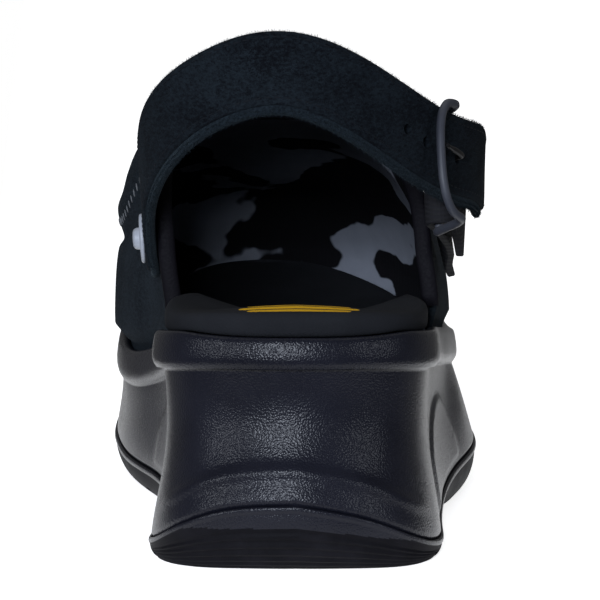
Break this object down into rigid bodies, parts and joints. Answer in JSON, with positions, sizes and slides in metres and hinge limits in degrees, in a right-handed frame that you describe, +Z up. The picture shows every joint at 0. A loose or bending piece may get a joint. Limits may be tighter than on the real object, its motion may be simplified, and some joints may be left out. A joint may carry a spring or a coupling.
{
  "type": "platform clog",
  "caption": "Right-foot suede platform clog with an open heel, a buckled heel strap, a bound collar and a tall scooped foam sole on a lugged rubber tread.",
  "frame": {"origin": "middle of the bounding box at the floor, under the tread", "axes": "+Z up, +Y from the heel toward the toe, +X toward the lateral side of the right foot"},
  "size_m": [0.1062, 0.2596, 0.1408],
  "materials": {
    "outsole": "dark grey ribbed rubber tread",
    "midsole": "pebbled dark grey moulded foam",
    "insole": "dark brushed textile over foam",
    "upper": "black-navy suede",
    "collar_binding": "black rolled binding",
    "heel_strap": "black-navy suede with a raw edge",
    "rivet": "pale grey moulded plastic",
    "buckle": "dark grey satin",
    "anchor": "black woven tab"
  },
  "bodies": {
    "root": {"outsole": "outsole", "midsole": "midsole", "insole": "insole", "upper": "upper", "collar_binding": "collar_binding", "heel_strap": "heel_strap", "rivet": "rivet", "buckle_frame": "buckle", "buckle_prong": "buckle", "buckle_anchor": "anchor"}
  },
  "joints": []
}
